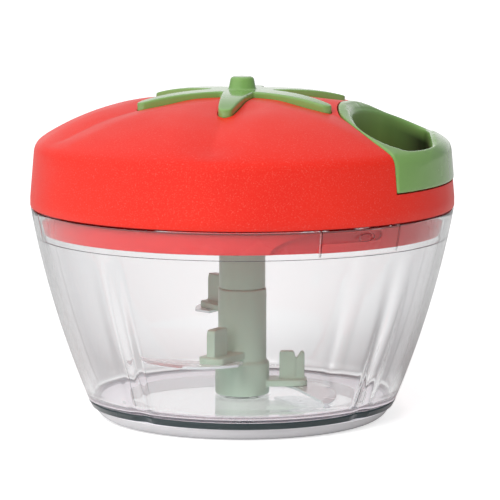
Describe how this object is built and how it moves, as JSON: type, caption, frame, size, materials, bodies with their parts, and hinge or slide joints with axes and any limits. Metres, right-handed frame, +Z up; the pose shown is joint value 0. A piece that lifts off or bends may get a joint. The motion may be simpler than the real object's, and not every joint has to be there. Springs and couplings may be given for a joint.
{
  "type": "pull-cord food chopper",
  "caption": "Tomato-shaped hand chopper: clear lobed bowl, red lid with a green calyx and a green pull handle, a cord reel in the lid and a column of curved blades.",
  "frame": {"origin": "middle of the foot ring's underside, on the axis of the blade column", "axes": "+Z up along the blade column, -Y towards the front of the picture, +X to its right; the pull handle leaves the lid 76 degrees round from the front towards +X"},
  "size_m": [0.135, 0.135, 0.1092],
  "materials": {
    "clear_bowl": "clear, polished",
    "base_band": "matt",
    "foot": "milky, translucent",
    "red_cover": "satin with a fine grain",
    "red_inner": "smooth",
    "red_seal": "smooth silicone",
    "leaf_green": "polished",
    "sage": "smooth",
    "steel": "ground blade steel",
    "screw_steel": "zinc plated",
    "spring_steel": "blued",
    "brass_bush": "plain",
    "white_plastic": "smooth",
    "grey_plastic": "smooth",
    "cord": "braided"
  },
  "bodies": {
    "base": {"bowl": "clear_bowl", "base_band": "base_band", "foot_ring": "foot", "spindle_pin": "screw_steel"},
    "lid": {"top_cover": "red_cover", "calyx": "leaf_green", "lower_cover": "red_inner", "seal_ring": "red_seal", "cover_screws": "screw_steel", "housing_screws": "screw_steel", "shaft_bush": "brass_bush", "reel_housing": "grey_plastic", "spring_arbor": "white_plastic", "cord_eyelet": "screw_steel", "return_spring": "spring_steel", "cord_lead": "cord"},
    "drive": {"drive_shaft": "white_plastic", "ratchet_wheel": "white_plastic", "axle_clip": "screw_steel"},
    "reel": {"cord_reel": "white_plastic", "reel_cap": "white_plastic", "pawl_pins": "screw_steel", "cord_winding": "cord"},
    "first_pawl": {"pawl_one": "white_plastic"},
    "second_pawl": {"pawl_two": "white_plastic"},
    "handle": {"pull_handle": "leaf_green", "cord_stop": "cord"},
    "blade_unit": {"blade_column": "sage", "column_sleeve": "sage", "column_bush": "white_plastic", "blade_lower": "steel", "blade_middle": "steel", "blade_upper": "steel"}
  },
  "joints": [
    {"name": "lid_lift", "type": "slide", "parent": "base", "child": "lid", "axis": [0, 0, 1], "range_m": [0, 0.09]},
    {"name": "cord_pull", "type": "slide", "parent": "lid", "child": "handle", "axis": [0.9703, -0.2419, 0], "range_m": [0, 0.45], "stiffness_N_per_m": 8, "springref_m": -0.2, "deforming": ["cord_lead", "return_spring"]},
    {"name": "reel_turn", "type": "hinge", "parent": "lid", "child": "reel", "pos_m": [0, 0, 0.083], "axis": [0, 0, 1], "range_deg": [-1250.6, 2]},
    {"name": "drive_turn", "type": "hinge", "parent": "lid", "child": "drive", "pos_m": [0, 0, 0.07], "axis": [0, 0, 1], "range_deg": [-1250.6, 2]},
    {"name": "blade_turn", "type": "hinge", "parent": "base", "child": "blade_unit", "pos_m": [0, 0, 0.02], "axis": [0, 0, 1], "range_deg": [-1250.6, 2]},
    {"name": "first_pawl_lift", "type": "hinge", "parent": "reel", "child": "first_pawl", "pos_m": [0, -0.018, 0.0768], "axis": [0, 0, 1], "range_deg": [0, 12], "stiffness_Nm_per_rad": 0.0005, "springref_deg": -11.46},
    {"name": "second_pawl_lift", "type": "hinge", "parent": "reel", "child": "second_pawl", "pos_m": [0, 0.018, 0.0768], "axis": [0, 0, 1], "range_deg": [0, 12], "stiffness_Nm_per_rad": 0.0005, "springref_deg": -11.46}
  ],
  "couplings": [
    {"joint": "reel_turn", "follows": "cord_pull", "rad_per_m": -48.426},
    {"joint": "drive_turn", "follows": "cord_pull", "rad_per_m": -48.426},
    {"joint": "blade_turn", "follows": "cord_pull", "rad_per_m": -48.426}
  ]
}
